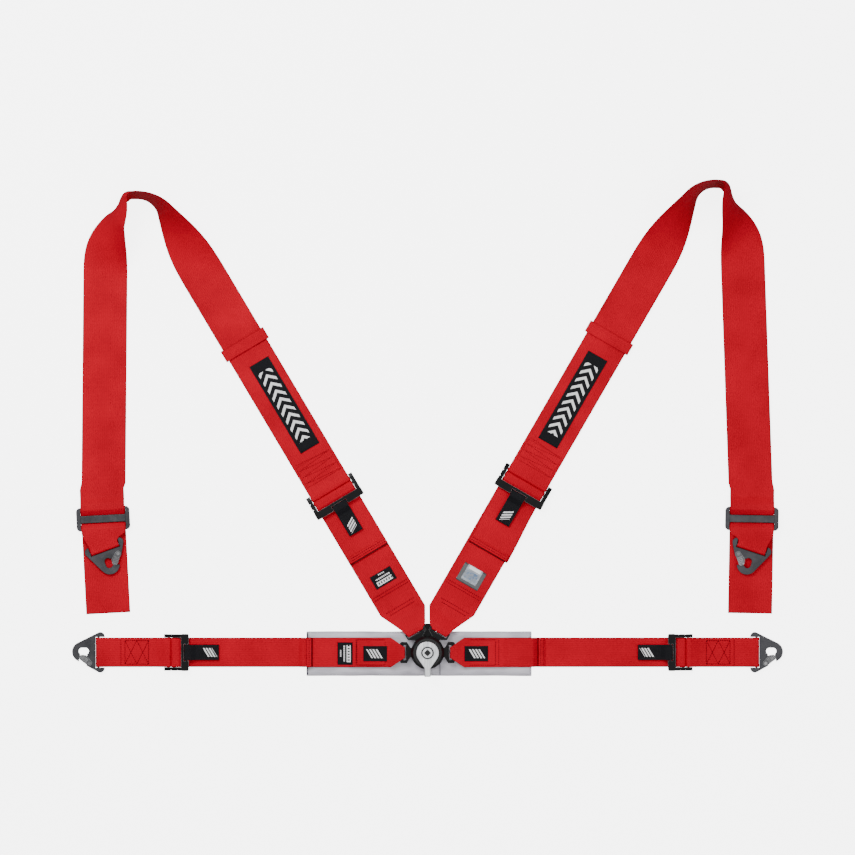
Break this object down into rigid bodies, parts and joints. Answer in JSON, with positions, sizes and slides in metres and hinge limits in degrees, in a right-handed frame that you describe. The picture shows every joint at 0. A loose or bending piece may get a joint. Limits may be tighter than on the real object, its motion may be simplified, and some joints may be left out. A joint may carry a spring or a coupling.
{
  "type": "racing harness",
  "caption": "Racing harness with rotary buckle, lap and shoulder webbing, tilt-lock adjusters, three-bar slides and snap hooks, laid out flat.",
  "frame": {"origin": "the buckle's axis on the surface that the harness lies on", "axes": "+X along the right lap belt, +Y up between the shoulder belts, +Z up out of the buckle's face"},
  "size_m": [1.208, 0.8412, 0.0844],
  "materials": {
    "webbing": "woven polyester",
    "pad_fabric": "satin",
    "tab_webbing": "woven",
    "black_metal": "gloss powder coat",
    "black_housing": "semi-gloss moulded",
    "dark_steel": "satin black zinc",
    "lever_metal": "brushed",
    "steel": "plain"
  },
  "bodies": {
    "buckle": {"buckle_pad": "pad_fabric", "buckle_base": "black_metal", "buckle_housing": "black_housing", "base_screws": "steel", "pin_springs": "steel", "lever_spring": "steel", "left_lap_tongue": "black_metal", "left_lap_tongue_rivet": "steel", "left_lap_inner_webbing": "webbing", "left_lap_outer_webbing": "webbing"},
    "release": {"release_lever": "lever_metal", "lever_cap": "black_housing", "spindle": "steel", "cam_plate": "steel"},
    "lock_pins": {"lock_pins": "steel"},
    "right_lap_belt": {"right_lap_tongue": "black_metal", "right_lap_inner_webbing": "webbing", "right_lap_outer_webbing": "webbing"},
    "left_shoulder_belt": {"left_shoulder_tongue": "black_metal", "left_shoulder_lower_webbing": "webbing", "left_shoulder_upper_webbing": "webbing", "left_shoulder_three_bar_slide": "dark_steel"},
    "left_keeper": {"left_shoulder_keeper": "webbing"},
    "right_shoulder_belt": {"right_shoulder_tongue": "black_metal", "right_shoulder_lower_webbing": "webbing", "right_shoulder_upper_webbing": "webbing", "right_shoulder_three_bar_slide": "dark_steel"},
    "right_keeper": {"right_shoulder_keeper": "webbing"},
    "left_lap_adjuster": {"left_lap_adjuster_frame": "black_metal", "left_lap_grip_bar": "black_metal", "left_lap_webbing_bight": "webbing", "left_lap_pull_tab": "tab_webbing"},
    "left_lap_hook": {"left_lap_hook_plate": "dark_steel", "left_lap_hook_rivet": "steel", "left_lap_gate_spring": "steel"},
    "left_lap_gate": {"left_lap_hook_gate": "dark_steel"},
    "right_lap_adjuster": {"right_lap_adjuster_frame": "black_metal", "right_lap_grip_bar": "black_metal", "right_lap_webbing_bight": "webbing", "right_lap_pull_tab": "tab_webbing"},
    "right_lap_hook": {"right_lap_hook_plate": "dark_steel", "right_lap_hook_rivet": "steel", "right_lap_gate_spring": "steel"},
    "right_lap_gate": {"right_lap_hook_gate": "dark_steel"},
    "left_shoulder_adjuster": {"left_shoulder_adjuster_frame": "black_metal", "left_shoulder_grip_bar": "black_metal", "left_shoulder_webbing_bight": "webbing", "left_shoulder_pull_tab": "tab_webbing"},
    "left_shoulder_hook": {"left_shoulder_hook_plate": "dark_steel", "left_shoulder_hook_rivet": "steel", "left_shoulder_gate_spring": "steel"},
    "left_shoulder_gate": {"left_shoulder_hook_gate": "dark_steel"},
    "right_shoulder_adjuster": {"right_shoulder_adjuster_frame": "black_metal", "right_shoulder_grip_bar": "black_metal", "right_shoulder_webbing_bight": "webbing", "right_shoulder_pull_tab": "tab_webbing"},
    "right_shoulder_hook": {"right_shoulder_hook_plate": "dark_steel", "right_shoulder_hook_rivet": "steel", "right_shoulder_gate_spring": "steel"},
    "right_shoulder_gate": {"right_shoulder_hook_gate": "dark_steel"}
  },
  "joints": [
    {"name": "release_turn", "type": "hinge", "parent": "buckle", "child": "release", "pos_m": [0, 0, 0.025], "axis": [0, 0, 1], "range_deg": [0, 60], "stiffness_Nm_per_rad": 0.05},
    {"name": "pins_lift", "type": "slide", "parent": "buckle", "child": "lock_pins", "axis": [0, 0, 1], "range_m": [0, 0.0019], "deforming": ["pin_springs"]},
    {"name": "right_lap_pull", "type": "slide", "parent": "buckle", "child": "right_lap_belt", "axis": [1, 0, 0], "range_m": [0, 0.05]},
    {"name": "left_shoulder_pull", "type": "slide", "parent": "buckle", "child": "left_shoulder_belt", "axis": [-0.5105, 0.8599, 0], "range_m": [0, 0.05]},
    {"name": "right_shoulder_pull", "type": "slide", "parent": "buckle", "child": "right_shoulder_belt", "axis": [0.5, 0.866, 0], "range_m": [0, 0.05]},
    {"name": "left_lap_tilt", "type": "hinge", "parent": "buckle", "child": "left_lap_adjuster", "pos_m": [-0.44, 0, 0.00435], "axis": [0, -1, 0], "range_deg": [0, 25]},
    {"name": "left_lap_hook_swing", "type": "hinge", "parent": "buckle", "child": "left_lap_hook", "pos_m": [-0.559, 0, 0.00435], "axis": [0, 1, 0], "range_deg": [0, 60]},
    {"name": "left_lap_gate_open", "type": "hinge", "parent": "left_lap_hook", "child": "left_lap_gate", "pos_m": [-0.5745, -0.0185, 0.00435], "axis": [0, 0, -1], "range_deg": [0, 18], "stiffness_Nm_per_rad": 0.02},
    {"name": "right_lap_tilt", "type": "hinge", "parent": "right_lap_belt", "child": "right_lap_adjuster", "pos_m": [0.443, 0, 0.00435], "axis": [0, 1, 0], "range_deg": [0, 25]},
    {"name": "right_lap_hook_swing", "type": "hinge", "parent": "right_lap_belt", "child": "right_lap_hook", "pos_m": [0.559, 0, 0.00435], "axis": [0, -1, 0], "range_deg": [0, 60]},
    {"name": "right_lap_gate_open", "type": "hinge", "parent": "right_lap_hook", "child": "right_lap_gate", "pos_m": [0.5745, -0.0185, 0.00435], "axis": [0, 0, 1], "range_deg": [0, 18], "stiffness_Nm_per_rad": 0.02},
    {"name": "left_shoulder_tilt", "type": "hinge", "parent": "left_shoulder_belt", "child": "left_shoulder_adjuster", "pos_m": [-0.1644, 0.27687, 0.00435], "axis": [-0.8599, -0.5105, 0], "range_deg": [0, 25]},
    {"name": "left_shoulder_hook_swing", "type": "hinge", "parent": "left_shoulder_belt", "child": "left_shoulder_hook", "pos_m": [-0.54833, 0.17607, 0.00655], "axis": [-0.9397, -0.342, 0], "range_deg": [0, 15]},
    {"name": "left_shoulder_gate_open", "type": "hinge", "parent": "left_shoulder_hook", "child": "left_shoulder_gate", "pos_m": [-0.52565, 0.16783, 0.00655], "axis": [0, 0, -1], "range_deg": [0, 18], "stiffness_Nm_per_rad": 0.02},
    {"name": "right_shoulder_tilt", "type": "hinge", "parent": "right_shoulder_belt", "child": "right_shoulder_adjuster", "pos_m": [0.1695, 0.29358, 0.00435], "axis": [-0.866, 0.5, 0], "range_deg": [0, 25]},
    {"name": "right_shoulder_hook_swing", "type": "hinge", "parent": "right_shoulder_belt", "child": "right_shoulder_hook", "pos_m": [0.55011, 0.17601, 0.00655], "axis": [-0.9511, 0.309, 0], "range_deg": [0, 15]},
    {"name": "right_shoulder_gate_open", "type": "hinge", "parent": "right_shoulder_hook", "child": "right_shoulder_gate", "pos_m": [0.52773, 0.16698, 0.00655], "axis": [0, 0, 1], "range_deg": [0, 18], "stiffness_Nm_per_rad": 0.02},
    {"name": "left_keeper_slide", "type": "slide", "parent": "left_shoulder_belt", "child": "left_keeper", "axis": [-0.5105, 0.8599, 0], "range_m": [0, 0.06]},
    {"name": "right_keeper_slide", "type": "slide", "parent": "right_shoulder_belt", "child": "right_keeper", "axis": [0.5, 0.866, 0], "range_m": [0, 0.06]}
  ],
  "couplings": [
    {"joint": "pins_lift", "follows": "release_turn", "m_per_rad": 0.0017189}
  ]
}
